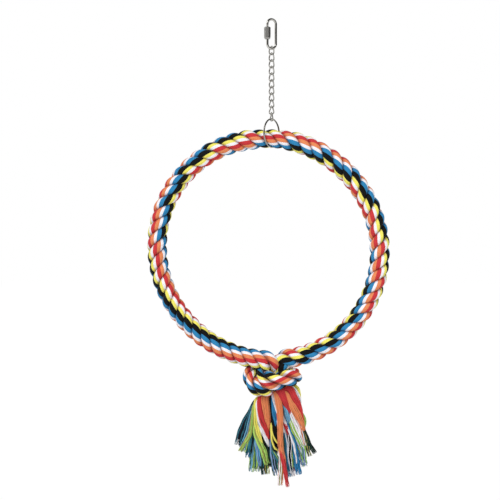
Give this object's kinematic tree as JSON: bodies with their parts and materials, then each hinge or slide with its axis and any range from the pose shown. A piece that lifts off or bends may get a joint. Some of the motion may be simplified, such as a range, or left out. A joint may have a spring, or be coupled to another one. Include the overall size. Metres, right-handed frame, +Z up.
{
  "type": "bird ring toy",
  "caption": "Laid cotton rope hoop closed by a knot with a frayed yarn tassel, hung on a wire ring and a short chain from a threaded quick link, as a swing perch for a cage bird",
  "frame": {"origin": "inside top of the quick link's crown, where the bar or hook that carries the toy touches it", "axes": "+Z is up along the hanging chain, +X is to the viewer's right across the hoop, +Y is away from the viewer through the hoop"},
  "size_m": [0.2995, 0.0444, 0.5788],
  "materials": {
    "quick_link_steel": "bright nickel-plated steel wire, lightly drawn",
    "nut_steel": "bright nickel-plated turned hexagon, fine turning lines",
    "chain_steel": "bright nickel-plated welded wire links",
    "ring_steel": "bright nickel-plated bent wire with an open butt seam",
    "core_wire_steel": "dull drawn steel wire, hidden in the rope",
    "cotton_strand": "dyed cotton yarns in several colours twisted into a strand",
    "cotton_knot": "dyed cotton rope pulled tight in a knot",
    "cotton_tail": "loose unlaid cotton yarn ends, crimped and frayed"
  },
  "bodies": {
    "quick_link": {"quick_link_body": "quick_link_steel"},
    "quick_link_nut": {"quick_link_nut": "nut_steel"},
    "chain_link_01": {"chain_link_01": "chain_steel"},
    "chain_link_02": {"chain_link_02": "chain_steel"},
    "chain_link_03": {"chain_link_03": "chain_steel"},
    "chain_link_04": {"chain_link_04": "chain_steel"},
    "chain_link_05": {"chain_link_05": "chain_steel"},
    "chain_link_06": {"chain_link_06": "chain_steel"},
    "chain_link_07": {"chain_link_07": "chain_steel"},
    "chain_link_08": {"chain_link_08": "chain_steel"},
    "chain_link_09": {"chain_link_09": "chain_steel"},
    "chain_link_10": {"chain_link_10": "chain_steel"},
    "chain_link_11": {"chain_link_11": "chain_steel"},
    "hang_ring": {"hang_ring": "ring_steel"},
    "rope_hoop": {"core_wire": "core_wire_steel", "rope_strand_1": "cotton_strand", "rope_strand_2": "cotton_strand", "rope_strand_3": "cotton_strand", "knot_front_end": "cotton_knot", "knot_back_end": "cotton_knot"},
    "left_tail": {"left_tail_1": "cotton_tail", "left_tail_2": "cotton_tail", "left_tail_3": "cotton_tail"},
    "right_tail": {"right_tail_1": "cotton_tail", "right_tail_2": "cotton_tail", "right_tail_3": "cotton_tail"}
  },
  "joints": [
    {"name": "nut_travel", "type": "slide", "parent": "quick_link", "child": "quick_link_nut", "axis": [0, 0, 1], "range_m": [0, 0.0055]},
    {"name": "chain_link_01_swing", "type": "hinge", "parent": "quick_link", "child": "chain_link_01", "pos_m": [0, 0, -0.03465], "axis": [0.8988, 0.4384, 0], "range_deg": [-60, 60]},
    {"name": "chain_link_02_swing", "type": "hinge", "parent": "chain_link_01", "child": "chain_link_02", "pos_m": [0, 0, -0.04], "axis": [0.3972, -0.9178, 0], "range_deg": [-60, 60]},
    {"name": "chain_link_03_swing", "type": "hinge", "parent": "chain_link_02", "child": "chain_link_03", "pos_m": [0, 0, -0.0503], "axis": [-0.9178, -0.3972, 0], "range_deg": [-60, 60]},
    {"name": "chain_link_04_swing", "type": "hinge", "parent": "chain_link_03", "child": "chain_link_04", "pos_m": [0, 0, -0.0564], "axis": [-0.3123, 0.95, 0], "range_deg": [-60, 60]},
    {"name": "chain_link_05_swing", "type": "hinge", "parent": "chain_link_04", "child": "chain_link_05", "pos_m": [0, 0, -0.0667], "axis": [0.95, 0.3123, 0], "range_deg": [-60, 60]},
    {"name": "chain_link_06_swing", "type": "hinge", "parent": "chain_link_05", "child": "chain_link_06", "pos_m": [0, 0, -0.0728], "axis": [0.225, -0.9744, 0], "range_deg": [-60, 60]},
    {"name": "chain_link_07_swing", "type": "hinge", "parent": "chain_link_06", "child": "chain_link_07", "pos_m": [0, 0, -0.0831], "axis": [-0.9744, -0.225, 0], "range_deg": [-60, 60]},
    {"name": "chain_link_08_swing", "type": "hinge", "parent": "chain_link_07", "child": "chain_link_08", "pos_m": [0, 0, -0.0892], "axis": [-0.1357, 0.9907, 0], "range_deg": [-60, 60]},
    {"name": "chain_link_09_swing", "type": "hinge", "parent": "chain_link_08", "child": "chain_link_09", "pos_m": [0, 0, -0.0995], "axis": [0.9907, 0.1357, 0], "range_deg": [-60, 60]},
    {"name": "chain_link_10_swing", "type": "hinge", "parent": "chain_link_09", "child": "chain_link_10", "pos_m": [0, 0, -0.1056], "axis": [0.0454, -0.999, 0], "range_deg": [-60, 60]},
    {"name": "chain_link_11_swing", "type": "hinge", "parent": "chain_link_10", "child": "chain_link_11", "pos_m": [0, 0, -0.1159], "axis": [-0.999, -0.0454, 0], "range_deg": [-60, 60]},
    {"name": "hang_ring_swing", "type": "hinge", "parent": "chain_link_11", "child": "hang_ring", "pos_m": [0, 0, -0.1241], "axis": [-0.6561, 0.7547, 0], "range_deg": [-40, 40]},
    {"name": "rope_hoop_rock", "type": "hinge", "parent": "hang_ring", "child": "rope_hoop", "pos_m": [0, 0, -0.1566], "axis": [0.5446, 0.8387, 0], "range_deg": [-20, 20]},
    {"name": "left_tail_swing", "type": "hinge", "parent": "rope_hoop", "child": "left_tail", "pos_m": [-0.0095, 0.0161, -0.4633], "axis": [0, 1, 0], "range_deg": [0, 35]},
    {"name": "right_tail_swing", "type": "hinge", "parent": "rope_hoop", "child": "right_tail", "pos_m": [0.00525, -0.0054, -0.4602], "axis": [0, -1, 0], "range_deg": [0, 35]}
  ]
}
